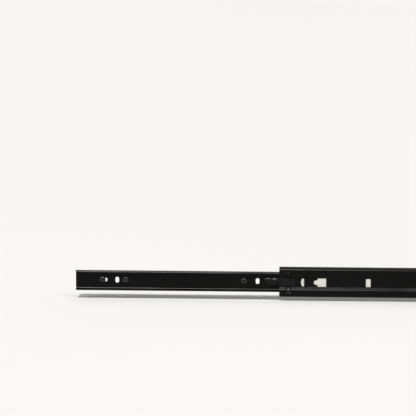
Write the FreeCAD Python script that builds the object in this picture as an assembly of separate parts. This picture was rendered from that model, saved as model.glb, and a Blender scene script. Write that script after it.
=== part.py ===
"""Three-section ball-bearing drawer slide with a lever disconnect, drawn fully pulled out.

Millimetres. X is the travel direction, +X into the cabinet. Y = 0 is the face that lies on the cabinet
side, and the drawer lies against the other side at Y = slide_thickness. Z is up from the centre line.
The origin is at the front end of the cabinet rail.
"""
import FreeCAD, Part
import math
import os

V = FreeCAD.Vector
ALONG_X = V(1, 0, 0)
ALONG_Y = V(0, 1, 0)
ALONG_Z = V(0, 0, 1)
BOTH_SIDES = (-1, 1)
cut_margin = 1.0
same_place = 0.01
nearly_parallel = 0.9

# ---- the slide as a whole ----
slide_thickness = 12.7
intermediate_travel = 210.0
drawer_travel = 246.0

# ---- balls: the outer rows run in the cabinet rail, the inner rows in the intermediate rail ----
outer_ball_radius = 2.0
inner_ball_radius = 2.5
ball_clearance = 0.08
pocket_clearance = 0.06
balls_per_row = 10
ball_end_margin = 8.0

# ---- cabinet rail ----
cabinet_length = 450.0
cabinet_half_height = 22.75
cabinet_sheet = 1.2
cabinet_corner_radius = 1.2
cabinet_race_rise = 1.0
race_blend_radius = 1.6
cabinet_lip_drop = 0.62
outer_ball_y = 9.0
cabinet_hole_radius = 2.3
cabinet_hole_xs = (37.0, 229.0, 421.0)
cabinet_slot_xs = (53.0, 245.0, 405.0)
slot_width = 4.5
slot_length = 7.3
cabinet_stop_free_x = 19.8
cabinet_stop_z = (13.8, 17.0)
stop_lance_length = 8.0
stop_lance_rise = 0.6
lance_slit = 0.3

# ---- intermediate rail ----
intermediate_length = 400.0
intermediate_sheet = 1.0
intermediate_web_y = 4.9
intermediate_bulge_y = 2.5
intermediate_flat_half = 5.2
jog_angle = 35.0
jog_radius = 1.7
hump_half_height = 17.7
lip_half_height = 18.2
lip_angle = 40.0
intermediate_stop_z = (13.8, 17.0)
window_half_height = 5.2
rear_window_half_height = 5.0
half_moon_half_height = 4.9
web_cut_y = (2.0, 8.0)
keeper_cut_y = (1.0, 5.5)
crescent_front_x = 26.0
crescent_back_x = 29.8
crescent_depth = 1.6
half_moon_back_x = 41.0
half_moon_rise = 1.5
keyhole_x = 44.4
keyhole_radius = 3.0
keyhole_window = (45.9, 56.2)
rear_windows = ((103.9, 109.5), (243.9, 254.2), (340.0, 345.6))
keeper_notch_length = 19.6
keeper_notch_half = 4.8
ear_window_x = (8.9, 13.1)
ear_window_z = (9.2, 13.3)
arm_window_x = (8.0, 14.0)
arm_window_z = (5.7, 9.3)

# ---- drawer rail ----
drawer_length = 430.0
drawer_half_height = 12.0
drawer_sheet = 1.2
drawer_corner_radius = 2.6
drawer_blend_radius = 1.8
drawer_tip_angle = 26.0
flange_setback = 1.2
drawer_hole_radius = 2.3
drawer_cut_depth = 0.5
drawer_screw_xs = (32.3, 60.2, 203.1)
long_slot_centre_x = 33.8
long_slot_length = 9.0
drawer_slot_xs = (50.1, 219.7)
rear_hole_x = 352.0
rear_slot_x = 371.0
drawer_stop_y = (8.2, 10.2)
drawer_stop_height = 14.4
end_corner_radius = 2.0

# ---- ball cages ----
cage_sheet = 0.5
cage_gap = 0.2
cage_length = 150.0
outer_cage_x = 20.0
outer_cage_corner = 0.8
outer_cage_edge_y = 10.45
inner_cage_corner = 0.7
inner_cage_edge_y = 9.3

# ---- front keeper, moulded, snapped into the front of the intermediate rail ----
keeper_front_x = 0.6
keeper_back_x = 19.4
keeper_half_height = 4.5
keeper_y = (4.6, 8.3)
keeper_ramp_length = 5.0
keeper_ramp_depth = 2.0
keeper_pad_x = 12.5
keeper_pad_y = 3.5
keeper_flange_half = 6.4
keeper_flange_y = (5.45, 6.6)
keeper_arm_sheet = 0.6
keeper_arm_gap = 0.05
keeper_ear_x = (9.0, 13.0)
keeper_ear_z = (10.1, 13.2)
keeper_ear_y = 1.8

# ---- disconnect lever, measured along the drawer rail from its front end ----
lever_tip_x = 227.3
lever_pivot_x = 306.0
lever_y = (8.9, 11.3)
lever_rib_xs = (237.5, 240.3, 243.1, 245.9)
lever_rib_height = 0.45
lever_rib_width = 1.0
lever_bevel_in = 1.2
lever_bevel_down = 2.4
lever_tip_top = 4.4
lever_tooth_top = -3.0
lever_tooth_flat = 2.0
lever_tooth_fall = 2.0
lever_tooth_length = 4.8
lever_tooth_y = 6.4
lever_tooth_gap = 0.1
lever_bottom = -6.5
lever_boss_radius = 5.4
lever_leaf_sheet = 1.3
lever_leaf_start = (2.0, 0.6)
lever_leaf_root = 6.0
lever_leaf_rise = (24.0, 34.0)
lever_leaf_tip = (10.0, -38.0)
lever_overlap = 0.5
lever_rib_z = (-5.0, 2.4)
lever_belly_x = (4.4, 11.0, 48.0)
lever_belly_z = -3.4
lever_nose = 1.0
lever_finger_heading = 28.0
lever_finger_end_x = 46.0
lever_finger_hump = (12.0, -46.0)
lever_finger_dip = (9.0, 48.0)
lever_finger_ridge = 1.2
lever_finger_shoulder = (3.0, -30.0)
lever_back_length = 25.0
rivet_radius = 2.5
rivet_clearance = 0.06
rivet_head_radius = 4.2
rivet_head_y = (7.6, 8.8)
rivet_rim = 0.5
rivet_dome_radius = 2.94
rivet_dome_drop = 0.25

# ---- rear bumper, moulded, snapped into the back of the cabinet rail ----
bumper_x = (430.4, 446.0)
bumper_half_height = 15.0
bumper_top_y = 12.2
bumper_arm_x = 409.0
bumper_arm_y = (7.2, 10.8)
bumper_arm_z = (6.9, 9.4)
bumper_arm_root = 1.0
bumper_nub_rise = 0.7
bumper_nub_radius = 1.8
bumper_nub_x = 413.0
bumper_nose_length = 3.0
bumper_nose_step = 0.8
bumper_corner_radius = 1.5
bumper_relief_x = (434.4, 443.0)
bumper_relief_z = (2.0, 12.0)
bumper_floor = 3.0
bumper_boss_x = 438.0
bumper_boss_radius = 3.0
bumper_boss_y = 0.1

# ---- screws that fix the drawer rail to a wooden drawer ----
screw_head_radius = 4.0
screw_head_height = 2.2
screw_head_rim = 0.7
screw_dome_radius = 2.9
screw_dome_drop = 0.45
screw_neck_radius = 1.8
screw_neck_length = 1.2
screw_shank_radius = 2.05
screw_length = 13.0
screw_point_length = 4.0
recess_width = 1.1
recess_length = 4.4
recess_depth = 1.5
recess_turns = (12.0, 50.0, 31.0)

# ---- where each piece lies with the slide pulled out ----
intermediate_x = -intermediate_travel
drawer_x = intermediate_x - drawer_travel
inner_cage_x = intermediate_x + keeper_back_x + cage_gap
outer_race_radius = outer_ball_radius + ball_clearance
inner_race_radius = inner_ball_radius + ball_clearance
outer_ball_z = cabinet_half_height - cabinet_sheet - outer_race_radius
inner_ball_y = intermediate_bulge_y + intermediate_sheet / 2 + inner_race_radius
inner_ball_z = hump_half_height - intermediate_sheet - inner_race_radius


def cos_d(angle):
    return math.cos(math.radians(angle))


def sin_d(angle):
    return math.sin(math.radians(angle))


def run(length):
    """A straight stretch of a bent sheet's centre line."""
    return length, 0.0


def bend(radius, turn):
    """A bend of the centre line, in degrees, positive to the left."""
    return radius, turn


def across(u, v):
    """A point of the cross-section."""
    return V(0, u, v)


def along(u, v):
    """A point of the side view."""
    return V(u, 0, v)


def walk(plane, start, heading, strokes, offset):
    """Edges that stay a fixed distance to the left of a path of runs and bends, and their last point."""
    u, v = start
    edges = []
    here = plane(u - sin_d(heading) * offset, v + cos_d(heading) * offset)
    for size, turn in strokes:
        if turn == 0.0:
            u += size * cos_d(heading)
            v += size * sin_d(heading)
            there = plane(u - sin_d(heading) * offset, v + cos_d(heading) * offset)
            edges.append(Part.LineSegment(here, there).toShape())
        else:
            side = math.copysign(1, turn)
            centre_u = u - sin_d(heading) * size * side
            centre_v = v + cos_d(heading) * size * side
            reach = side * size - offset
            middle = heading + turn / 2
            heading += turn
            halfway = plane(centre_u + sin_d(middle) * reach, centre_v - cos_d(middle) * reach)
            there = plane(centre_u + sin_d(heading) * reach, centre_v - cos_d(heading) * reach)
            edges.append(Part.Arc(here, halfway, there).toShape())
            u = centre_u + sin_d(heading) * size * side
            v = centre_v - cos_d(heading) * size * side
        here = there
    return edges, here


def rail_strip(web_y, strokes, sheet, x_start, length):
    """Sheet bent to a section that is the same above and below the centre line, along X."""
    near, near_end = walk(across, (web_y, 0.0), 90.0, strokes, sheet / 2)
    far, far_end = walk(across, (web_y, 0.0), 90.0, strokes, -sheet / 2)
    upper = near + far + [Part.LineSegment(near_end, far_end).toShape()]
    lower = [edge.mirror(V(0, 0, 0), ALONG_Z) for edge in upper]
    outline = Part.Wire(Part.__sortEdges__(upper + lower))
    strip = Part.Face(outline).extrude(ALONG_X * length)
    strip.translate(ALONG_X * x_start)
    return strip.removeSplitter()


def block(x_range, y_range, z_range):
    size = (x_range[1] - x_range[0], y_range[1] - y_range[0], z_range[1] - z_range[0])
    return Part.makeBox(size[0], size[1], size[2], V(x_range[0], y_range[0], z_range[0]))


def mirrored_z(shape):
    return shape.mirror(V(0, 0, 0), ALONG_Z)


def pair(shape):
    """The shape and its mirror image below the centre line."""
    return [shape, mirrored_z(shape)]


def drill(x, radius, y_range=(-cut_margin, slide_thickness + cut_margin), z=0.0):
    return Part.makeCylinder(radius, y_range[1] - y_range[0], V(x, y_range[0], z), ALONG_Y)


def slot(x, length, direction, y_range=(-cut_margin, slide_thickness + cut_margin)):
    """A cutter for a round-ended slot, lying along the given direction."""
    half = (length - slot_width) / 2
    depth = y_range[1] - y_range[0]
    shape = Part.makeBox(2 * half, depth, slot_width, V(x - half, y_range[0], -slot_width / 2))
    for side in BOTH_SIDES:
        shape = shape.fuse(drill(x + side * half, slot_width / 2, y_range))
    if direction is ALONG_Z:
        shape.rotate(V(x, 0, 0), ALONG_Y, 90)
    return shape.removeSplitter()


def prism(points, plane_axis, low, high):
    """A straight-sided block: its outline in the plane across plane_axis, from low to high along it."""
    outline = Part.makePolygon(points + [points[0]])
    solid = Part.Face(outline).extrude(plane_axis * (high - low))
    solid.translate(plane_axis * low)
    return solid


def add_lance(rail, hinge_x, free_x, sheet_y, rise, z_range):
    """Cut a three-sided tab in a flat stretch of sheet and push its free end out by rise."""
    back = math.copysign(lance_slit, free_x - hinge_x)
    window_x = sorted((hinge_x, free_x + back))
    window = block(window_x, sheet_y, z_range)
    outline = [
        V(hinge_x, sheet_y[0], 0),
        V(free_x, sheet_y[0] + rise, 0),
        V(free_x, sheet_y[1] + rise, 0),
        V(hinge_x, sheet_y[1], 0),
    ]
    tab = prism(outline, ALONG_Z, z_range[0] + lance_slit, z_range[1] - lance_slit)
    for piece in pair(window):
        rail = rail.cut(piece)
    return rail.fuse(pair(tab))


def rounded_end_cutter(x_end, inward, half_height, radius, y_range):
    """What rounds the two corners of a flat web's end."""
    corner_z = (half_height - radius, half_height + cut_margin)
    corner = block(sorted((x_end, x_end + inward * radius)), y_range, corner_z)
    keep = drill(x_end + inward * radius, radius, y_range, half_height - radius)
    return pair(corner.cut(keep))


# ---- cabinet rail ----
def cabinet_strokes():
    race = outer_race_radius + cabinet_sheet / 2
    low_flange = cabinet_half_height - cabinet_sheet / 2 - cabinet_race_rise
    turn = math.degrees(math.acos(1 - cabinet_race_rise / (race_blend_radius + race)))
    flange_start = cabinet_sheet / 2 + cabinet_corner_radius
    flat = outer_ball_y - flange_start - (race_blend_radius + race) * sin_d(turn)
    return [
        run(low_flange - cabinet_corner_radius),
        bend(cabinet_corner_radius, -90.0),
        run(flat),
        bend(race_blend_radius, turn),
        bend(race, -turn - 90.0),
        run(cabinet_lip_drop),
    ]


def cabinet_rail():
    web = (0.0, cabinet_sheet)
    through = (-cut_margin, cabinet_sheet + cut_margin)
    rail = rail_strip(cabinet_sheet / 2, cabinet_strokes(), cabinet_sheet, 0.0, cabinet_length)
    for x in cabinet_hole_xs:
        rail = rail.cut(drill(x, cabinet_hole_radius, through))
    for x in cabinet_slot_xs:
        rail = rail.cut(slot(x, slot_length, ALONG_Z, through))
    rail = rail.cut(drill(bumper_boss_x, bumper_boss_radius, through))
    hinge_x = cabinet_stop_free_x - stop_lance_length
    return add_lance(rail, hinge_x, cabinet_stop_free_x, web, stop_lance_rise, cabinet_stop_z)


def rear_bumper():
    """Stops the closed drawer rail, and its two sprung arms grip inside that rail's channel."""
    body = block(bumper_x, (cabinet_sheet, bumper_top_y), (-bumper_half_height, bumper_half_height))
    corner_edges = [e for e in body.Edges if abs(e.tangentAt(e.FirstParameter).y) > nearly_parallel]
    body = body.makeFillet(bumper_corner_radius, corner_edges)
    relief_y = (cabinet_sheet + bumper_floor, bumper_top_y + cut_margin)
    relief = block(bumper_relief_x, relief_y, bumper_relief_z)
    for piece in pair(relief):
        body = body.cut(piece)
    boss = drill(bumper_boss_x, bumper_boss_radius, (bumper_boss_y, cabinet_sheet))
    arm = block((bumper_arm_x, bumper_x[0] + bumper_arm_root), bumper_arm_y, bumper_arm_z)
    nub_z = bumper_arm_z[1] + bumper_nub_rise - bumper_nub_radius
    nub = drill(bumper_nub_x, bumper_nub_radius, bumper_arm_y, nub_z)
    nose_z = bumper_arm_z[0] + bumper_nose_step
    nose = prism(
        [
            V(bumper_arm_x, 0, nose_z),
            V(bumper_arm_x, 0, bumper_arm_z[1] - bumper_nose_step),
            V(bumper_arm_x - bumper_nose_length, 0, nose_z),
        ],
        ALONG_Y, bumper_arm_y[0], bumper_arm_y[1],
    )
    return body.fuse([boss] + pair(arm) + pair(nub) + pair(nose)).removeSplitter()


# ---- ball cages ----
def jog_strokes(offset):
    """From the recessed web out to the bulge, for a sheet lying offset to the right of the rail's."""
    left_radius = jog_radius + offset
    right_radius = jog_radius - offset
    depth = intermediate_web_y - intermediate_bulge_y
    slope = (depth - 2 * jog_radius * (1 - cos_d(jog_angle))) / sin_d(jog_angle)
    return [
        run(intermediate_flat_half),
        bend(left_radius, jog_angle),
        run(slope),
        bend(right_radius, -jog_angle),
    ]


def jog_end_z():
    """Height at which the sheet is parallel to the web again."""
    depth = intermediate_web_y - intermediate_bulge_y
    slope = (depth - 2 * jog_radius * (1 - cos_d(jog_angle))) / sin_d(jog_angle)
    return intermediate_flat_half + 2 * jog_radius * sin_d(jog_angle) + slope * cos_d(jog_angle)


def ball_xs(cage_x):
    pitch = (cage_length - 2 * ball_end_margin) / (balls_per_row - 1)
    return [cage_x + ball_end_margin + pitch * i for i in range(balls_per_row)]


def ball(radius, x, y, z):
    return Part.makeSphere(radius, V(x, y, z))


def ball_cage(offset, corner, edge_y, cage_x, ball_radius, ball_y, ball_z):
    """A bent strip with a pocket for every ball."""
    web_y = intermediate_web_y + offset
    flange_start = intermediate_bulge_y + offset + corner
    strokes = jog_strokes(offset) + [
        run(ball_z - corner - jog_end_z()),
        bend(corner, -90.0),
        run(edge_y - flange_start),
    ]
    cage = rail_strip(web_y, strokes, cage_sheet, cage_x, cage_length)
    for x in ball_xs(cage_x):
        for side in BOTH_SIDES:
            cage = cage.cut(ball(ball_radius + pocket_clearance, x, ball_y, side * ball_z))
    return cage


def outer_cage():
    offset = -(intermediate_sheet / 2 + cage_gap + cage_sheet / 2)
    return ball_cage(
        offset, outer_cage_corner, outer_cage_edge_y, outer_cage_x,
        outer_ball_radius, outer_ball_y, outer_ball_z,
    )


def inner_cage():
    offset = intermediate_sheet / 2 + cage_gap + cage_sheet / 2
    return ball_cage(
        offset, inner_cage_corner, inner_cage_edge_y, inner_cage_x,
        inner_ball_radius, inner_ball_y, inner_ball_z,
    )


# ---- intermediate rail ----
def intermediate_strokes():
    inner_race = inner_race_radius + intermediate_sheet / 2
    groove = outer_race_radius + intermediate_sheet / 2
    hump = hump_half_height - intermediate_sheet / 2
    drop = hump - (outer_ball_z - groove)
    turn = math.degrees(math.acos(1 - drop / (race_blend_radius + groove)))
    flat = outer_ball_y - inner_ball_y - (race_blend_radius + groove) * sin_d(turn)
    lip_start = outer_ball_z - groove * cos_d(lip_angle) + intermediate_sheet / 2 * cos_d(lip_angle)
    return jog_strokes(0.0) + [
        run(inner_ball_z - jog_end_z()),
        bend(inner_race, -90.0),
        run(flat),
        bend(race_blend_radius, -turn),
        bend(groove, turn + lip_angle),
        run((lip_half_height - lip_start) / sin_d(lip_angle)),
    ]


def window(x_range, half_height):
    """A cutter through the recessed web, given from the rail's front end."""
    low, high = x_range
    return block((intermediate_x + low, intermediate_x + high), web_cut_y, (-half_height, half_height))


def crescent():
    """The curved opening in front of the half-moon tab."""
    front = intermediate_x + crescent_front_x
    back = intermediate_x + crescent_back_x
    shoulder = front + crescent_depth
    half = half_moon_half_height
    y = web_cut_y[0]
    arc = Part.Arc(V(shoulder, y, -half), V(front, y, 0), V(shoulder, y, half)).toShape()
    corners = [(shoulder, half), (back, half), (back, -half), (shoulder, -half)]
    sides = Part.makePolygon([V(x, y, z) for x, z in corners])
    outline = Part.Wire(Part.__sortEdges__([arc] + sides.Edges))
    return Part.Face(outline).extrude(ALONG_Y * (web_cut_y[1] - web_cut_y[0]))


def half_moon_tab():
    """Metal pushed out toward the cabinet behind the crescent, sloping back into the web."""
    front = intermediate_x + crescent_back_x
    back = intermediate_x + half_moon_back_x
    near = intermediate_web_y - intermediate_sheet / 2
    half = half_moon_half_height
    arc = Part.Arc(V(front, 0, -half), V(back, 0, 0), V(front, 0, half)).toShape()
    straight = Part.LineSegment(V(front, 0, half), V(front, 0, -half)).toShape()
    plan = Part.Face(Part.Wire([arc, straight])).extrude(ALONG_Y * intermediate_web_y)
    wedge = prism(
        [
            V(front - cut_margin, near - half_moon_rise, 0),
            V(front, near - half_moon_rise, 0),
            V(back, near, 0),
            V(back, intermediate_web_y, 0),
            V(front - cut_margin, intermediate_web_y, 0),
        ],
        ALONG_Z, -half, half,
    )
    return plan.common(wedge)


def intermediate_rail():
    rail = rail_strip(
        intermediate_web_y, intermediate_strokes(), intermediate_sheet, intermediate_x, intermediate_length
    )
    rail = rail.cut(crescent()).fuse(half_moon_tab())
    rail = rail.cut(drill(intermediate_x + keyhole_x, keyhole_radius, web_cut_y))
    rail = rail.cut(window(keyhole_window, window_half_height))
    for opening in rear_windows:
        rail = rail.cut(window(opening, rear_window_half_height))
    rail = rail.cut(window((-cut_margin, keeper_notch_length), keeper_notch_half))
    for (low, high), opening_z in ((ear_window_x, ear_window_z), (arm_window_x, arm_window_z)):
        for opening in pair(block((intermediate_x + low, intermediate_x + high), keeper_cut_y, opening_z)):
            rail = rail.cut(opening)
    bulge = (intermediate_bulge_y - intermediate_sheet / 2, intermediate_bulge_y + intermediate_sheet / 2)
    free_x = outer_cage_x + cage_length + cage_gap
    hinge_x = free_x + stop_lance_length
    return add_lance(rail, hinge_x, free_x, bulge, -stop_lance_rise, intermediate_stop_z)


def front_keeper():
    """Holds the lever's tooth and stops the inner cage; two ears lock it in the rail's ear windows."""
    front = intermediate_x + keeper_front_x
    back = intermediate_x + keeper_back_x
    half = keeper_half_height
    body = block((front, back), keeper_y, (-half, half))
    ramp_end = front + keeper_ramp_length
    ramp = prism(
        [
            V(front - cut_margin, keeper_y[1] + cut_margin, 0),
            V(ramp_end, keeper_y[1] + cut_margin, 0),
            V(ramp_end, keeper_y[1], 0),
            V(front - cut_margin, keeper_y[1] - keeper_ramp_depth, 0),
        ],
        ALONG_Z, -half - cut_margin, half + cut_margin,
    )
    body = body.cut(ramp)
    pad = block((intermediate_x + keeper_pad_x, back), (keeper_pad_y, keeper_y[0]), (-half, half))
    flange = block((front, back), keeper_flange_y, (-keeper_flange_half, keeper_flange_half))
    ear_x = (intermediate_x + keeper_ear_x[0], intermediate_x + keeper_ear_x[1])
    offset = intermediate_sheet / 2 + keeper_arm_gap + keeper_arm_sheet / 2
    strokes = jog_strokes(offset) + [run(keeper_ear_z[1] - jog_end_z())]
    arms = rail_strip(intermediate_web_y + offset, strokes, keeper_arm_sheet, ear_x[0], ear_x[1] - ear_x[0])
    ear = block(ear_x, (keeper_ear_y, intermediate_bulge_y + offset), keeper_ear_z)
    return body.fuse([pad, flange, arms] + pair(ear)).removeSplitter()


# ---- drawer rail ----
def drawer_strokes():
    groove = inner_race_radius + drawer_sheet / 2
    crest = drawer_half_height - drawer_sheet / 2
    drop = crest - (inner_ball_z - groove)
    turn = math.degrees(math.acos(1 - drop / (drawer_blend_radius + groove)))
    flange_start = slide_thickness - drawer_sheet / 2 - drawer_corner_radius
    flat = flange_start - inner_ball_y - (drawer_blend_radius + groove) * sin_d(turn)
    return [
        run(crest - drawer_corner_radius),
        bend(drawer_corner_radius, 90.0),
        run(flat),
        bend(drawer_blend_radius, turn),
        bend(groove, -turn - drawer_tip_angle),
    ]


def drawer_rail():
    web_y = slide_thickness - drawer_sheet / 2
    web = (slide_thickness - drawer_sheet - drawer_cut_depth, slide_thickness + cut_margin)
    rail = rail_strip(web_y, drawer_strokes(), drawer_sheet, drawer_x, drawer_length)
    setback = (drawer_x - cut_margin, drawer_x + flange_setback)
    half = drawer_half_height + cut_margin
    open_side = (0.0, slide_thickness - drawer_sheet - drawer_corner_radius)
    rail = rail.cut(block(setback, open_side, (-half, half)))
    for x, inward in ((drawer_x, 1), (drawer_x + drawer_length, -1)):
        for corner in rounded_end_cutter(x, inward, drawer_half_height, end_corner_radius, web):
            rail = rail.cut(corner)
    rail = rail.cut(slot(drawer_x + long_slot_centre_x, long_slot_length, ALONG_X, web))
    for x in drawer_screw_xs[1:] + (rear_hole_x,):
        rail = rail.cut(drill(drawer_x + x, drawer_hole_radius, web))
    for x in drawer_slot_xs + (rear_slot_x,):
        rail = rail.cut(slot(drawer_x + x, slot_length, ALONG_Z, web))
    rail = rail.cut(drill(drawer_x + lever_pivot_x, rivet_radius, web))
    stop_x = inner_cage_x + cage_length + cage_gap
    tab_x = (stop_x, stop_x + drawer_sheet)
    tab_z = (drawer_half_height - drawer_sheet, drawer_stop_height)
    hole_x = (tab_x[1], tab_x[1] + tab_z[1] - tab_z[0])
    for hole in pair(block(hole_x, drawer_stop_y, (tab_z[0] - cut_margin, half))):
        rail = rail.cut(hole)
    return rail.fuse(pair(block(tab_x, drawer_stop_y, tab_z))).removeSplitter()


def pan_head_screw(x, recess_turn):
    """A cross-recessed screw: its head lies on the rail's web and its point goes into the drawer side."""
    seat_y = slide_thickness - drawer_sheet
    top_y = seat_y - screw_head_height
    tip_y = seat_y + screw_length
    rim_y = seat_y - screw_head_rim
    neck_y = seat_y + screw_neck_length
    shoulder = V(screw_dome_radius, top_y + screw_dome_drop, 0)
    dome = Part.Arc(V(0, top_y, 0), shoulder, V(screw_head_radius, rim_y, 0)).toShape()
    rest = Part.makePolygon([
        V(screw_head_radius, rim_y, 0),
        V(screw_head_radius, seat_y, 0),
        V(screw_neck_radius, seat_y, 0),
        V(screw_neck_radius, neck_y, 0),
        V(screw_shank_radius, neck_y, 0),
        V(screw_shank_radius, tip_y - screw_point_length, 0),
        V(0, tip_y, 0),
        V(0, top_y, 0),
    ])
    outline = Part.Wire(Part.__sortEdges__([dome] + rest.Edges))
    screw = Part.Face(outline).revolve(V(0, 0, 0), ALONG_Y, 360)
    bar_corner = V(-recess_length / 2, top_y, -recess_width / 2)
    bar = Part.makeBox(recess_length, recess_depth, recess_width, bar_corner)
    cross = bar.copy()
    cross.rotate(V(0, 0, 0), ALONG_Y, 90)
    screw = screw.cut(bar).cut(cross)
    screw.rotate(V(0, 0, 0), ALONG_Y, recess_turn)
    screw.translate(V(x, 0, 0))
    return screw


def drawer_screws():
    placed = zip(drawer_screw_xs, recess_turns)
    return Part.makeCompound([pan_head_screw(drawer_x + x, turn) for x, turn in placed])


# ---- disconnect lever ----
def lever_outline():
    """Side view of the lever's plate: finger tab in front, pivot eye behind."""
    tip = drawer_x + lever_tip_x
    pivot = drawer_x + lever_pivot_x
    eye = lever_boss_radius
    finger = [
        bend(*lever_finger_hump),
        bend(*lever_finger_dip),
        run(lever_finger_ridge),
        bend(*lever_finger_shoulder),
        run(lever_back_length),
    ]
    top, top_end = walk(along, (tip, lever_tip_top), lever_finger_heading, finger, 0.0)
    belly_middle, belly_start, belly_end = [tip + x for x in lever_belly_x]
    nose = along(tip, lever_tip_top - lever_nose)
    belly = Part.Arc(along(belly_start, lever_bottom), along(belly_middle, lever_belly_z), nose)
    back = Part.Arc(along(pivot, eye), along(pivot + eye, 0), along(pivot, -eye))
    straights = [
        (top_end, along(pivot, eye)),
        (along(pivot, -eye), along(belly_end, lever_bottom)),
        (along(belly_end, lever_bottom), along(belly_start, lever_bottom)),
        (nose, along(tip, lever_tip_top)),
    ]
    edges = top + [belly.toShape(), back.toShape()]
    edges += [Part.LineSegment(start, end).toShape() for start, end in straights]
    outline = Part.Wire(Part.__sortEdges__(edges))
    outline.translate(ALONG_Y * lever_y[0])
    return outline


def is_finger_edge(edge):
    """True for the upper front edges of the plate, on the side that faces the cabinet."""
    box = edge.BoundBox
    on_face = max(abs(box.YMax - lever_y[0]), abs(box.YMin - lever_y[0])) < same_place
    on_top = box.ZMin > lever_tip_top - same_place
    return on_face and on_top and box.XMax < drawer_x + lever_tip_x + lever_finger_end_x


def disconnect_lever():
    """Turns on its rivet; a tooth behind the keeper holds the drawer rail from being pulled right out."""
    pivot = drawer_x + lever_pivot_x
    thick = lever_y[1] - lever_y[0]
    lever = Part.Face(lever_outline()).extrude(ALONG_Y * thick)
    finger_edges = [edge for edge in lever.Edges if is_finger_edge(edge)]
    lever = lever.makeChamfer(lever_bevel_in, lever_bevel_down, finger_edges)
    tooth_x = intermediate_x + keeper_back_x + lever_tooth_gap
    tooth_end = tooth_x + lever_tooth_length
    tooth = prism(
        [
            V(tooth_x, 0, lever_bottom),
            V(tooth_x, 0, lever_tooth_top),
            V(tooth_x + lever_tooth_flat, 0, lever_tooth_top),
            V(tooth_end, 0, lever_tooth_top - lever_tooth_fall),
            V(tooth_end, 0, lever_bottom),
        ],
        ALONG_Y, lever_tooth_y, lever_y[0] + lever_overlap,
    )
    rib_y = (lever_y[0] - lever_rib_height, lever_y[0] + lever_overlap)
    half_rib = lever_rib_width / 2
    ribs = [
        block((drawer_x + x - half_rib, drawer_x + x + half_rib), rib_y, lever_rib_z)
        for x in lever_rib_xs
    ]
    leaf_path = [run(lever_leaf_root), bend(*lever_leaf_rise), bend(*lever_leaf_tip)]
    leaf_start = (pivot + lever_leaf_start[0], lever_leaf_start[1])
    upper, upper_end = walk(along, leaf_start, 0.0, leaf_path, lever_leaf_sheet / 2)
    lower, lower_end = walk(along, leaf_start, 0.0, leaf_path, -lever_leaf_sheet / 2)
    ends = [
        Part.LineSegment(upper_end, lower_end).toShape(),
        Part.LineSegment(upper[0].Vertexes[0].Point, lower[0].Vertexes[0].Point).toShape(),
    ]
    leaf = Part.Face(Part.Wire(Part.__sortEdges__(upper + lower + ends))).extrude(ALONG_Y * thick)
    leaf.translate(ALONG_Y * lever_y[0])
    lever = lever.fuse([tooth, leaf] + ribs)
    bore = drill(pivot, rivet_radius + rivet_clearance, (lever_y[0] - cut_margin, lever_y[1] + cut_margin))
    return lever.cut(bore).removeSplitter()


def lever_rivet():
    """Steel pivot set in the drawer rail's web, with a domed head that keeps the lever on."""
    low, seat = rivet_head_y
    rim = seat - rivet_rim
    shoulder = V(rivet_dome_radius, low + rivet_dome_drop, 0)
    dome = Part.Arc(V(0, low, 0), shoulder, V(rivet_head_radius, rim, 0)).toShape()
    rest = Part.makePolygon([
        V(rivet_head_radius, rim, 0),
        V(rivet_head_radius, seat, 0),
        V(rivet_radius, seat, 0),
        V(rivet_radius, slide_thickness, 0),
        V(0, slide_thickness, 0),
        V(0, low, 0),
    ])
    outline = Part.Wire(Part.__sortEdges__([dome] + rest.Edges))
    rivet = Part.Face(outline).revolve(V(0, 0, 0), ALONG_Y, 360)
    rivet.translate(V(drawer_x + lever_pivot_x, 0, 0))
    return rivet


def ball_nodes(prefix, cage_x, radius, y, z):
    """One solid per ball, numbered from the front, for the upper and the lower row."""
    nodes = {}
    for row, side in (("upper", 1), ("lower", -1)):
        for number, x in enumerate(ball_xs(cage_x), start=1):
            nodes[f"{prefix}_ball_{row}_{number:02d}"] = ball(radius, x, y, side * z)
    return nodes


def all_nodes():
    nodes = {
        "cabinet_rail": cabinet_rail(),
        "rear_bumper": rear_bumper(),
        "outer_ball_cage": outer_cage(),
        "intermediate_rail": intermediate_rail(),
        "front_keeper": front_keeper(),
        "inner_ball_cage": inner_cage(),
        "drawer_rail": drawer_rail(),
        "drawer_rail_screws": drawer_screws(),
        "disconnect_lever": disconnect_lever(),
        "lever_rivet": lever_rivet(),
    }
    nodes.update(ball_nodes("outer", outer_cage_x, outer_ball_radius, outer_ball_y, outer_ball_z))
    nodes.update(ball_nodes("inner", inner_cage_x, inner_ball_radius, inner_ball_y, inner_ball_z))
    return nodes


os.makedirs("parts", exist_ok=True)
for name, shape in all_nodes().items():
    shape.exportStep(f"parts/{name}.step")
    print(f"{name}: {len(shape.Solids)} solid(s), valid {shape.isValid()}, {shape.Volume:.1f} mm3")
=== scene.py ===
"""Looks of the drawer slide: materials, softened edges, detailed screws, a pale studio and the camera."""
import math

import bmesh
import bpy
from mathutils import Matrix, Vector


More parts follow.
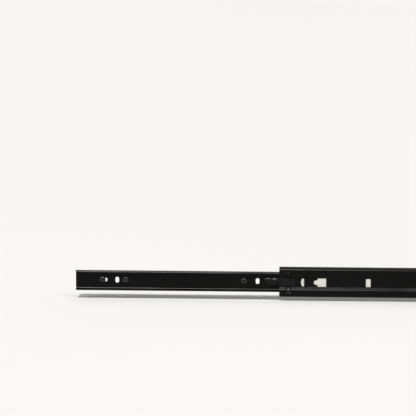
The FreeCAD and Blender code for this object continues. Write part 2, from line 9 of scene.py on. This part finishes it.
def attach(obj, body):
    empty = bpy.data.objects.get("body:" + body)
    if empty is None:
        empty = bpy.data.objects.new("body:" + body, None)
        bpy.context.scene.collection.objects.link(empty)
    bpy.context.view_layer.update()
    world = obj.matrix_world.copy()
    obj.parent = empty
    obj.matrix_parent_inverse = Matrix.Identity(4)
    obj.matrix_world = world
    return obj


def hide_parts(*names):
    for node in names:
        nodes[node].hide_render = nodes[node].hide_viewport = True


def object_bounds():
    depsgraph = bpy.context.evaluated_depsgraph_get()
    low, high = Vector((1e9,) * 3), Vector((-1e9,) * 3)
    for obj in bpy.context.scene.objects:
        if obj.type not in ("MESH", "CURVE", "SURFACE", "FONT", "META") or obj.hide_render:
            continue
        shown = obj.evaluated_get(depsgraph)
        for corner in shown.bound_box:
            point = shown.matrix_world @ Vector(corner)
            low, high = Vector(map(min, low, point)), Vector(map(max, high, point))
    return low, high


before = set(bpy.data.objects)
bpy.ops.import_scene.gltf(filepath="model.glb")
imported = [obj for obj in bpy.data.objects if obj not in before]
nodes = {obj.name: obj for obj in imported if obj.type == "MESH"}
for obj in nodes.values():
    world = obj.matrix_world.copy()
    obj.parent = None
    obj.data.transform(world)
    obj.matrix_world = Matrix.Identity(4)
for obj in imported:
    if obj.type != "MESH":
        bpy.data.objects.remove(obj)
cad_low, cad_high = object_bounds()

MM = 0.001
EDGE_SAMPLES = 4

# ---- where the balls run, for the burnished tracks in the rails: Y, height and radius ----
OUTER_TRACK = (9.0 * MM, 19.47 * MM, 2.25 * MM)
INNER_TRACK = (5.58 * MM, 14.12 * MM, 2.75 * MM)
TRACK_CORE = 0.97


# ---- node helpers: each adds nodes to a tree and returns the socket that carries the result ----
def join(tree, source, target):
    """Link a socket, or set a constant."""
    if isinstance(source, bpy.types.NodeSocket):
        tree.links.new(source, target)
    else:
        target.default_value = source


def surface_point(tree, scale=(1.0, 1.0, 1.0)):
    """The point in the piece's own coordinates, in metres, times a scale."""
    coords = tree.nodes.new("ShaderNodeTexCoord")
    mapping = tree.nodes.new("ShaderNodeMapping")
    mapping.inputs["Scale"].default_value = scale
    tree.links.new(coords.outputs["Object"], mapping.inputs["Vector"])
    return mapping.outputs["Vector"]


def grain(tree, sizes, detail=3.0, roughness=0.5, distortion=0.0):
    """Noise whose blotches are this long in X, Y and Z, in millimetres."""
    noise = tree.nodes.new("ShaderNodeTexNoise")
    noise.inputs["Scale"].default_value = 1.0
    noise.inputs["Detail"].default_value = detail
    noise.inputs["Roughness"].default_value = roughness
    noise.inputs["Distortion"].default_value = distortion
    tree.links.new(surface_point(tree, [1.0 / (size * MM) for size in sizes]), noise.inputs["Vector"])
    return noise.outputs["Fac"]


def cells(tree, size):
    """Voronoi cells of about this size in millimetres, each in a flat colour of its own."""
    voronoi = tree.nodes.new("ShaderNodeTexVoronoi")
    voronoi.inputs["Scale"].default_value = 1.0
    tree.links.new(surface_point(tree, [1.0 / (size * MM)] * 3), voronoi.inputs["Vector"])
    return voronoi.outputs["Color"]


def remap(tree, value, low, high, to_low=0.0, to_high=1.0):
    """Smooth step of value from low..high to to_low..to_high."""
    node = tree.nodes.new("ShaderNodeMapRange")
    node.interpolation_type = "SMOOTHSTEP"
    join(tree, value, node.inputs["Value"])
    node.inputs["From Min"].default_value = low
    node.inputs["From Max"].default_value = high
    node.inputs["To Min"].default_value = to_low
    node.inputs["To Max"].default_value = to_high
    return node.outputs["Result"]


def maths(tree, operation, first, second=0.0):
    node = tree.nodes.new("ShaderNodeMath")
    node.operation = operation
    join(tree, first, node.inputs[0])
    join(tree, second, node.inputs[1])
    return node.outputs[0]


def blend_colour(tree, share, first, second):
    node = tree.nodes.new("ShaderNodeMix")
    node.data_type = "RGBA"
    colours = [socket for socket in node.inputs if socket.type == "RGBA"]
    join(tree, share, node.inputs[0])
    join(tree, first, colours[0])
    join(tree, second, colours[1])
    return next(socket for socket in node.outputs if socket.type == "RGBA")


def brightness(tree, colour):
    node = tree.nodes.new("ShaderNodeRGBToBW")
    tree.links.new(colour, node.inputs["Color"])
    return node.outputs["Val"]


def relief(tree, height, depth_mm, under=None):
    """Bump of the given height range, over another bump."""
    node = tree.nodes.new("ShaderNodeBump")
    node.inputs["Distance"].default_value = depth_mm * MM
    join(tree, height, node.inputs["Height"])
    if under is not None:
        tree.links.new(under, node.inputs["Normal"])
    return node.outputs["Normal"]


def edge_mask(tree, radius_mm, low, high):
    """1 along sharp edges within the radius, 0 on flats."""
    rounded = tree.nodes.new("ShaderNodeBevel")
    rounded.samples = EDGE_SAMPLES
    rounded.inputs["Radius"].default_value = radius_mm * MM
    plain = tree.nodes.new("ShaderNodeNewGeometry")
    dot = tree.nodes.new("ShaderNodeVectorMath")
    dot.operation = "DOT_PRODUCT"
    tree.links.new(rounded.outputs["Normal"], dot.inputs[0])
    tree.links.new(plain.outputs["Normal"], dot.inputs[1])
    return remap(tree, maths(tree, "SUBTRACT", 1.0, dot.outputs["Value"]), low, high)


def track_mask(tree, track):
    """1 within the groove where one row of balls runs, above and below the centre line."""
    y, z, radius = track
    split = tree.nodes.new("ShaderNodeSeparateXYZ")
    tree.links.new(surface_point(tree), split.inputs[0])
    off_y = maths(tree, "SUBTRACT", split.outputs["Y"], y)
    off_z = maths(tree, "SUBTRACT", maths(tree, "ABSOLUTE", split.outputs["Z"]), z)
    squares = maths(tree, "ADD", maths(tree, "MULTIPLY", off_y, off_y), maths(tree, "MULTIPLY", off_z, off_z))
    return remap(tree, maths(tree, "SQRT", squares), radius * TRACK_CORE, radius, 1.0, 0.0)


def material(name, **sockets):
    made = bpy.data.materials.new(name)
    made.use_nodes = True
    shader = made.node_tree.nodes["Principled BSDF"]
    for socket, value in sockets.items():
        shader.inputs[socket.replace("_", " ")].default_value = value
    return made, made.node_tree, shader


def dress(tree, shader, colour, roughness, normal, metallic=None):
    tree.links.new(colour, shader.inputs["Base Color"])
    tree.links.new(roughness, shader.inputs["Roughness"])
    tree.links.new(normal, shader.inputs["Normal"])
    if metallic is not None:
        tree.links.new(metallic, shader.inputs["Metallic"])


# ---- finishes ----
def coated_steel():
    """Black electro-coat on rolled strip: satin, with roll lines, peel, handling marks and worn edges."""
    made, tree, shader = material("coated_steel", Specular_IOR_Level=0.088)
    cloud = grain(tree, (38.0, 16.0, 16.0), 4.0, 0.55)
    peel = grain(tree, (0.9, 0.9, 0.9), 2.0)
    roll_lines = grain(tree, (60.0, 0.35, 0.35), 3.0, 0.6)
    hairlines = remap(tree, grain(tree, (9.0, 0.12, 0.12), 2.0, 0.5, 0.3), 0.66, 0.74)
    rubbed = remap(tree, grain(tree, (14.0, 5.0, 5.0), 3.0), 0.52, 0.72)
    specks = remap(tree, grain(tree, (0.7, 0.7, 0.7), 1.0), 0.74, 0.80)
    scuffs = maths(tree, "MULTIPLY", hairlines, rubbed)
    tracks = maths(tree, "ADD", track_mask(tree, OUTER_TRACK), track_mask(tree, INNER_TRACK))
    run_in = maths(tree, "MULTIPLY", tracks, remap(tree, roll_lines, 0.35, 0.65, 0.35, 1.0))
    worn = remap(tree, cloud, 0.48, 0.62, 0.0, 0.55)
    bare = maths(tree, "MULTIPLY", edge_mask(tree, 0.25, 0.12, 0.4), worn)
    colour = blend_colour(tree, cloud, (0.0010, 0.0009, 0.0009, 1), (0.0023, 0.0020, 0.0018, 1))
    colour = blend_colour(tree, maths(tree, "MULTIPLY", specks, 0.12), colour, (0.16, 0.15, 0.14, 1))
    colour = blend_colour(tree, maths(tree, "MULTIPLY", scuffs, 0.25), colour, (0.10, 0.10, 0.10, 1))
    colour = blend_colour(tree, maths(tree, "MULTIPLY", run_in, 0.30), colour, (0.13, 0.13, 0.13, 1))
    colour = blend_colour(tree, bare, colour, (0.20, 0.195, 0.19, 1))
    rough = remap(tree, cloud, 0.3, 0.7, 0.17, 0.26)
    rough = maths(tree, "ADD", rough, maths(tree, "MULTIPLY", scuffs, 0.12))
    rough = maths(tree, "SUBTRACT", rough, maths(tree, "MULTIPLY", run_in, 0.08))
    normal = relief(tree, roll_lines, 0.006)
    normal = relief(tree, peel, 0.010, normal)
    normal = relief(tree, scuffs, -0.004, normal)
    dress(tree, shader, colour, rough, normal, maths(tree, "MULTIPLY", bare, 0.8))
    return made


def zinc_plate():
    """Bright galvanised strip: faint spangle, rolled streaks and a dull warm bloom."""
    made, tree, shader = material("zinc_plate", Metallic=1.0)
    spangle = brightness(tree, cells(tree, 3.2))
    bloom = grain(tree, (9.0, 5.0, 5.0), 4.0, 0.6)
    streaks = grain(tree, (30.0, 0.4, 0.4), 3.0, 0.6)
    pits = remap(tree, grain(tree, (0.35, 0.35, 0.35), 1.0), 0.70, 0.78)
    colour = blend_colour(tree, spangle, (0.78, 0.76, 0.70, 1), (0.85, 0.83, 0.77, 1))
    colour = blend_colour(tree, remap(tree, bloom, 0.4, 0.75, 0.0, 0.35), colour, (0.73, 0.70, 0.62, 1))
    colour = blend_colour(tree, maths(tree, "MULTIPLY", pits, 0.3), colour, (0.45, 0.43, 0.40, 1))
    streaked = remap(tree, streaks, 0.3, 0.7, -0.04, 0.06)
    rough = maths(tree, "ADD", remap(tree, spangle, 0.0, 1.0, 0.34, 0.46), streaked)
    normal = relief(tree, spangle, 0.010)
    normal = relief(tree, streaks, 0.006, normal)
    dress(tree, shader, colour, rough, normal)
    return made


def ball_steel():
    """Ground chrome steel with a thin film of grease and fine running marks."""
    made, tree, shader = material("ball_steel", Metallic=1.0, Coat_Weight=0.25, Coat_Roughness=0.12)
    film = grain(tree, (2.6, 2.6, 2.6), 3.0, 0.6)
    marks = remap(tree, grain(tree, (0.08, 0.6, 0.6), 2.0, 0.5, 1.5), 0.64, 0.72)
    colour = blend_colour(tree, film, (0.66, 0.66, 0.665, 1), (0.78, 0.775, 0.765, 1))
    colour = blend_colour(tree, maths(tree, "MULTIPLY", marks, 0.4), colour, (0.42, 0.41, 0.40, 1))
    marked = maths(tree, "MULTIPLY", marks, 0.1)
    rough = maths(tree, "ADD", remap(tree, film, 0.35, 0.7, 0.07, 0.20), marked)
    dress(tree, shader, colour, rough, relief(tree, marks, -0.002))
    return made


def black_plastic():
    """Moulded acetal: fine spark-eroded grain, faint flow lines and lighter rubbed corners."""
    made, tree, shader = material("black_plastic", Specular_IOR_Level=0.16)
    pebble = grain(tree, (0.22, 0.22, 0.22), 3.0, 0.6)
    flow = grain(tree, (7.0, 3.0, 2.2), 3.0, 0.5, 0.8)
    rubbed = maths(tree, "MULTIPLY", edge_mask(tree, 0.3, 0.05, 0.35), remap(tree, flow, 0.4, 0.65, 0.1, 0.8))
    colour = blend_colour(tree, flow, (0.0017, 0.0017, 0.0018, 1), (0.0036, 0.0035, 0.0033, 1))
    colour = blend_colour(tree, remap(tree, pebble, 0.62, 0.8, 0.0, 0.25), colour, (0.013, 0.013, 0.013, 1))
    colour = blend_colour(tree, rubbed, colour, (0.030, 0.030, 0.029, 1))
    pebbled = remap(tree, pebble, 0.4, 0.7, 0.0, 0.06)
    rough = maths(tree, "ADD", remap(tree, flow, 0.3, 0.7, 0.27, 0.38), pebbled)
    normal = relief(tree, flow, 0.02)
    normal = relief(tree, pebble, 0.010, normal)
    dress(tree, shader, colour, rough, normal)
    return made


def black_screw():
    """Black-passivated screw steel, shinier where the driver and the rail have rubbed it."""
    made, tree, shader = material("black_screw", Metallic=0.85, Specular_IOR_Level=0.45)
    cloud = grain(tree, (1.8, 1.8, 1.8), 4.0, 0.6)
    turning = grain(tree, (0.5, 0.10, 0.5), 2.0, 0.5, 0.6)
    handled = remap(tree, cloud, 0.42, 0.6, 0.15, 0.9)
    rubbed = maths(tree, "MULTIPLY", edge_mask(tree, 0.22, 0.08, 0.35), handled)
    colour = blend_colour(tree, cloud, (0.030, 0.030, 0.031, 1), (0.055, 0.054, 0.053, 1))
    colour = blend_colour(tree, rubbed, colour, (0.20, 0.195, 0.19, 1))
    polished = maths(tree, "MULTIPLY", rubbed, 0.06)
    rough = maths(tree, "SUBTRACT", remap(tree, cloud, 0.3, 0.7, 0.18, 0.28), polished)
    normal = relief(tree, turning, 0.004)
    normal = relief(tree, cloud, 0.006, normal)
    dress(tree, shader, colour, rough, normal)
    return made


def pale_floor():
    made, tree, shader = material("pale_floor", Roughness=0.6, Specular_IOR_Level=0.2)
    cloud = grain(tree, (900.0, 900.0, 900.0), 3.0)
    colour = blend_colour(tree, cloud, (0.735, 0.725, 0.705, 1), (0.755, 0.745, 0.725, 1))
    tree.links.new(colour, shader.inputs["Base Color"])
    return made


# ---- CAD nodes: finish and softened edges ----
SAME_POINT = 0.001
FLAT_ANGLE = 0.2
SHARP_ANGLE = 38.0
BEVEL_SEGMENTS = 2


def finish_of(node):
    if "ball" in node and "cage" not in node:
        return "ball_steel"
    if "cage" in node:
        return "zinc_plate"
    if node in ("front_keeper", "disconnect_lever", "rear_bumper"):
        return "black_plastic"
    return "coated_steel"


def soften(part, width_mm, clamped):
    """Rounds the sharp edges of a CAD node without touching its mesh."""
    weld = part.modifiers.new("weld", "WELD")
    weld.merge_threshold = SAME_POINT * MM
    flat = part.modifiers.new("whole_flats", "DECIMATE")
    flat.decimate_type = "DISSOLVE"
    flat.angle_limit = math.radians(FLAT_ANGLE)
    bevel = part.modifiers.new("bevel", "BEVEL")
    bevel.width = width_mm * MM
    bevel.segments = BEVEL_SEGMENTS
    bevel.limit_method = "ANGLE"
    bevel.angle_limit = math.radians(SHARP_ANGLE)
    bevel.use_clamp_overlap = clamped
    bevel.miter_outer = "MITER_ARC"
    weighted = part.modifiers.new("even_shading", "WEIGHTED_NORMAL")
    weighted.keep_sharp = True


EDGE_WIDTHS = {
    "cabinet_rail": 0.14,
    "intermediate_rail": 0.14,
    "drawer_rail": 0.14,
    "front_keeper": 0.18,
    "disconnect_lever": 0.22,
    "rear_bumper": 0.25,
    "lever_rivet": 0.2,
    "outer_ball_cage": 0.06,
    "inner_ball_cage": 0.06,
}

FINISHES = {
    "coated_steel": coated_steel(),
    "zinc_plate": zinc_plate(),
    "ball_steel": ball_steel(),
    "black_plastic": black_plastic(),
    "black_screw": black_screw(),
}


def give(part, finish):
    if part.data.materials:
        for index in range(len(part.data.materials)):
            part.data.materials[index] = FINISHES[finish]
    else:
        part.data.materials.append(FINISHES[finish])


for name, part in nodes.items():
    give(part, finish_of(name))
    if name in EDGE_WIDTHS:
        soften(part, EDGE_WIDTHS[name], clamped=name == "drawer_rail")


# ---- detailed screws in place of the plain CAD ones ----
SCREW_CENTRES = (-423.7, -395.8, -252.9)
RECESS_TURNS = (12.0, 50.0, 31.0)
HEAD_TOP = 9.25
HEAD_DOME = 1.7
HEAD_RADIUS = 4.0
HEAD_SEAT = 11.5
HEAD_STEPS = 12
HEAD_EDGE = 0.09
HEAD_EDGE_ANGLE = 40.0
HEAD_RIM = ((0.0, 0.2), (0.06, 0.06), (0.2, 0.0))
NECK_FILLET = ((0.35, 0.0), (0.1, 0.1), (0.0, 0.35))
NECK_TAPER = (0.2, 0.25)
RECESS = ((2.45, 0.70, -0.4), (2.35, 0.67, 0.1), (1.40, 0.48, 1.5), (0.45, 0.25, 1.9))
NOTCH_SHARE = 1.25
NOTCH_CUT = 0.25
NECK_RADIUS = 1.8
THREAD_START = 12.7
SCREW_TIP = 24.5
THREAD_PITCH = 1.4
THREAD_CORE = 1.45
THREAD_HEIGHT = 0.6
THREAD_SHAPE = (0.0, 0.0, 0.12, 0.55, 1.0, 0.55, 0.12, 0.0)
POINT_LENGTH = 4.2
POINT_RADIUS = 0.12
POINT_FULLNESS = 0.8
THREAD_REACH = 1.3
MERGE_WITHIN = 0.004
SLIVER_WITHIN = 0.002
AROUND = 40


def ring(radius, y):
    steps = [2 * math.pi * i / AROUND for i in range(AROUND)]
    return [Vector((radius * math.cos(a), y, radius * math.sin(a))) for a in steps]


def shell(rings):
    """A closed surface through rings of points, its ends closed by flat faces."""
    shape = bmesh.new()
    rows = [[shape.verts.new(point) for point in points] for points in rings]
    count = len(rings[0])
    for near, far in zip(rows, rows[1:]):
        for i in range(count):
            j = (i + 1) % count
            shape.faces.new((near[i], near[j], far[j], far[i]))
    shape.faces.new(reversed(rows[0]))
    shape.faces.new(rows[-1])
    return shape


def mesh_object(name, shape):
    """A Blender object from a bmesh drawn in millimetres."""
    bmesh.ops.recalc_face_normals(shape, faces=shape.faces)
    bmesh.ops.scale(shape, vec=Vector((MM, MM, MM)), verts=shape.verts)
    mesh = bpy.data.meshes.new(name)
    shape.to_mesh(mesh)
    shape.free()
    made = bpy.data.objects.new(name, mesh)
    bpy.context.scene.collection.objects.link(made)
    return made


def head_shell():
    """Domed pan head with a broken rim, a small fillet under it and the plain neck."""
    rings = []
    for step in range(1, HEAD_STEPS + 1):
        lean = math.radians(90.0 * step / HEAD_STEPS)
        rings.append(ring(HEAD_RADIUS * math.sin(lean), HEAD_TOP + HEAD_DOME * (1 - math.cos(lean))))
    rings += [ring(HEAD_RADIUS - inward, HEAD_SEAT - above) for inward, above in HEAD_RIM]
    rings += [ring(NECK_RADIUS + outward, HEAD_SEAT + below) for outward, below in NECK_FILLET]
    rings.append(ring(NECK_RADIUS, THREAD_START - NECK_TAPER[0]))
    rings.append(ring(THREAD_CORE, THREAD_START + NECK_TAPER[1]))
    return shell(rings)


def cross_ring(reach, half_width, y):
    """A cross with cut-off inner corners, seen along the screw."""
    notch = half_width * NOTCH_SHARE + NOTCH_CUT
    quarter = [(reach, -half_width), (reach, half_width), (notch, half_width), (half_width, notch)]
    points = []
    for turn in range(4):
        c, s = (1, 0, -1, 0)[turn], (0, 1, 0, -1)[turn]
        points += [Vector((u * c - v * s, y, u * s + v * c)) for u, v in quarter]
    return points


def recess_shell():
    """Tapered cross recess with a blunt point."""
    return shell([cross_ring(reach, half_width, HEAD_TOP + depth) for reach, half_width, depth in RECESS])


def thread_shell():
    """Helical ridge on a core that tapers to a point. Each row of points follows the helix."""
    per_turn = len(THREAD_SHAPE)
    length = SCREW_TIP - THREAD_START
    last = math.ceil(length / THREAD_PITCH * per_turn) + 1
    shape = bmesh.new()
    rows = {}
    for row in range(-per_turn, last + 1):
        ridge = THREAD_SHAPE[row % per_turn]
        points = []
        for i in range(AROUND):
            s = min(max(THREAD_PITCH * (row / per_turn + i / AROUND), 0.0), length)
            taper = min(1.0, (length - s) / POINT_LENGTH)
            rise = min(1.0, s / THREAD_PITCH)
            radius = POINT_RADIUS + (THREAD_CORE - POINT_RADIUS) * taper ** POINT_FULLNESS
            radius += THREAD_HEIGHT * ridge * rise * min(1.0, THREAD_REACH * taper)
            angle = 2 * math.pi * i / AROUND
            point = (radius * math.cos(angle), THREAD_START + s, radius * math.sin(angle))
            points.append(shape.verts.new(point))
        rows[row] = points
    for row in range(-per_turn, last):
        for i in range(AROUND):
            if i + 1 < AROUND:
                corners = (rows[row][i], rows[row][i + 1], rows[row + 1][i + 1], rows[row + 1][i])
            else:
                near, far = min(row + per_turn, last), min(row + 1 + per_turn, last)
                corners = (rows[row][i], rows[near][0], rows[far][0], rows[row + 1][i])
            if len(set(corners)) == 4:
                shape.faces.new(corners)
    bmesh.ops.remove_doubles(shape, verts=shape.verts, dist=MERGE_WITHIN)
    bmesh.ops.dissolve_degenerate(shape, edges=shape.edges, dist=SLIVER_WITHIN)
    open_edges = [edge for edge in shape.edges if edge.is_boundary]
    bmesh.ops.holes_fill(shape, edges=open_edges, sides=0)
    return shape


def applied(piece):
    """Bakes a piece's modifiers into its mesh."""
    graph = bpy.context.evaluated_depsgraph_get()
    mesh = bpy.data.meshes.new_from_object(piece.evaluated_get(graph))
    piece.modifiers.clear()
    piece.data = mesh


def screws():
    head = mesh_object("screw_head", head_shell())
    cutter = mesh_object("recess_cutter", recess_shell())
    cut = head.modifiers.new("recess", "BOOLEAN")
    cut.object = cutter
    cut.solver = "EXACT"
    edge = head.modifiers.new("edge", "BEVEL")
    edge.width = HEAD_EDGE * MM
    edge.segments = BEVEL_SEGMENTS
    edge.limit_method = "ANGLE"
    edge.angle_limit = math.radians(HEAD_EDGE_ANGLE)
    applied(head)
    thread = mesh_object("screw_thread", thread_shell())
    whole = bmesh.new()
    whole.from_mesh(head.data)
    whole.from_mesh(thread.data)
    master = bpy.data.meshes.new("pan_head_screw")
    whole.to_mesh(master)
    whole.free()
    for part in (head, cutter, thread):
        bpy.data.objects.remove(part)
    for number, (x, turn) in enumerate(zip(SCREW_CENTRES, RECESS_TURNS), start=1):
        mesh = master.copy()
        mesh.transform(Matrix.Translation((x * MM, 0, 0)) @ Matrix.Rotation(math.radians(turn), 4, "Y"))
        mesh.set_sharp_from_angle(angle=math.radians(SHARP_ANGLE))
        screw = bpy.data.objects.new(f"drawer_screw_{number}", mesh)
        bpy.context.scene.collection.objects.link(screw)
        give(screw, "black_screw")
        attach(screw, "drawer")
        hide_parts("drawer_rail_screws")


screws()


# ---- studio ----
def direction(azimuth, elevation):
    """From the slide toward a camera or light: azimuth 0 is -Y and 90 is +X, in degrees."""
    turn, rise = math.radians(azimuth), math.radians(elevation)
    return Vector((math.sin(turn) * math.cos(rise), -math.cos(turn) * math.cos(rise), math.sin(rise)))


FLOOR_HALF = 30.0
FLOOR_GAP = 0.05


def floor():
    half = FLOOR_HALF
    level = cad_low.z - FLOOR_GAP * MM
    mesh = bpy.data.meshes.new("studio_floor")
    corners = [(-half, -half, level), (half, -half, level), (half, half, level), (-half, half, level)]
    mesh.from_pydata(corners, [], [(0, 1, 2, 3)])
    plane = bpy.data.objects.new("studio_floor", mesh)
    bpy.context.scene.collection.objects.link(plane)
    mesh.materials.append(pale_floor())


def far_light(name, azimuth, elevation, strength, spread):
    """A large soft light far away, in the direction given like a camera's: azimuth 0 is in front, at -Y."""
    light = bpy.data.lights.new(name, "SUN")
    light.energy = strength
    light.angle = math.radians(spread)
    lamp = bpy.data.objects.new(name, light)
    bpy.context.scene.collection.objects.link(lamp)
    lamp.rotation_mode = "QUATERNION"
    lamp.rotation_quaternion = direction(azimuth, elevation).to_track_quat("Z", "Y")


def studio():
    world = bpy.data.worlds.new("studio")
    bpy.context.scene.world = world
    world.use_nodes = True
    background = world.node_tree.nodes["Background"]
    background.inputs["Color"].default_value = (0.95, 0.97, 1.0, 1.0)
    background.inputs["Strength"].default_value = 0.26
    far_light("key", azimuth=-8.0, elevation=49.0, strength=2.95, spread=8.5)
    far_light("left", azimuth=-52.0, elevation=38.0, strength=0.7, spread=14.0)
    far_light("right", azimuth=48.0, elevation=38.0, strength=0.7, spread=14.0)
    far_light("back", azimuth=160.0, elevation=62.0, strength=0.4, spread=34.0)


VIEW_AZIMUTH = 3.2
VIEW_ELEVATION = 8.5
VIEW_DISTANCE = 3.0
VIEW_TARGET = (-0.2959, 0.008, 0.0891)
LENS_MM = 216.52
SENSOR_MM = 36.0


def camera():
    data = bpy.data.cameras.new("camera")
    data.sensor_width = SENSOR_MM
    data.lens = LENS_MM
    data.clip_start = 0.1
    data.clip_end = 100.0
    cam = bpy.data.objects.new("camera", data)
    bpy.context.scene.collection.objects.link(cam)
    back = direction(VIEW_AZIMUTH, VIEW_ELEVATION)
    cam.location = Vector(VIEW_TARGET) + back * VIEW_DISTANCE
    cam.rotation_mode = "QUATERNION"
    cam.rotation_quaternion = (-back).to_track_quat("-Z", "Y")
    bpy.context.scene.camera = cam


floor()
studio()
camera()
bpy.context.scene.view_settings.view_transform = "Standard"
